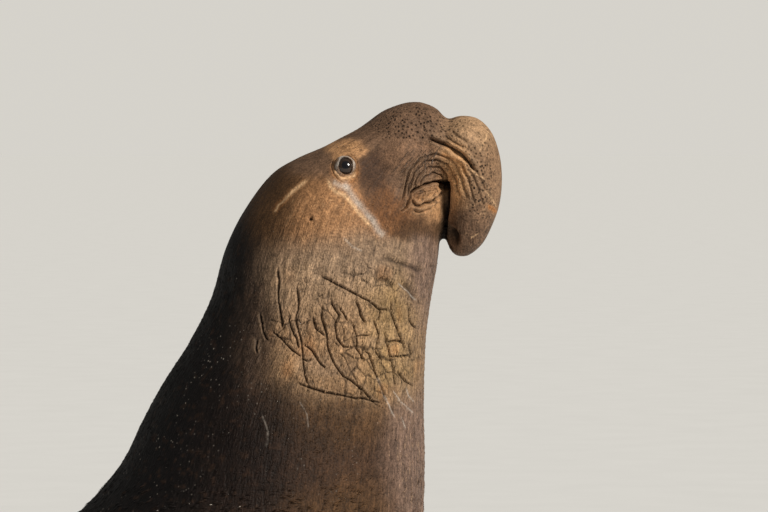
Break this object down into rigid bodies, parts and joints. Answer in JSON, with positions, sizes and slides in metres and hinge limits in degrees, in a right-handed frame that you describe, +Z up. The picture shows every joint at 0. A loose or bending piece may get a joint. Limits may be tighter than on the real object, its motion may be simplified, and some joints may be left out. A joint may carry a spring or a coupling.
{
  "type": "elephant seal model",
  "caption": "Life-size still model of a young adult elephant seal bull, rearing on its chest with its head raised and its long nose hanging over the mouth.",
  "frame": {"origin": "on the floor, under the middle of the animal's bounding box", "axes": "+X ahead, the way the head faces; +Y to the animal's left; +Z up"},
  "size_m": [3.78, 1.689, 1.8738],
  "materials": {
    "hide": "short flat fur over thick hide, dark brown on the back, tan and scarred on the neck",
    "eyeball": "wet, nearly black eye",
    "nail": "dark horn, worn dull"
  },
  "bodies": {
    "root": {"nose": "hide", "head": "hide", "lower_jaw": "hide", "neck": "hide", "chest": "hide", "belly": "hide", "rump": "hide", "tail": "hide", "ear_right": "hide", "foreflipper_right": "hide", "hind_flipper_right": "hide", "eye_right": "eyeball", "claw_right_1": "nail", "claw_right_2": "nail", "claw_right_3": "nail", "claw_right_4": "nail", "claw_right_5": "nail", "ear_left": "hide", "foreflipper_left": "hide", "hind_flipper_left": "hide", "eye_left": "eyeball", "claw_left_1": "nail", "claw_left_2": "nail", "claw_left_3": "nail", "claw_left_4": "nail", "claw_left_5": "nail"}
  },
  "joints": []
}
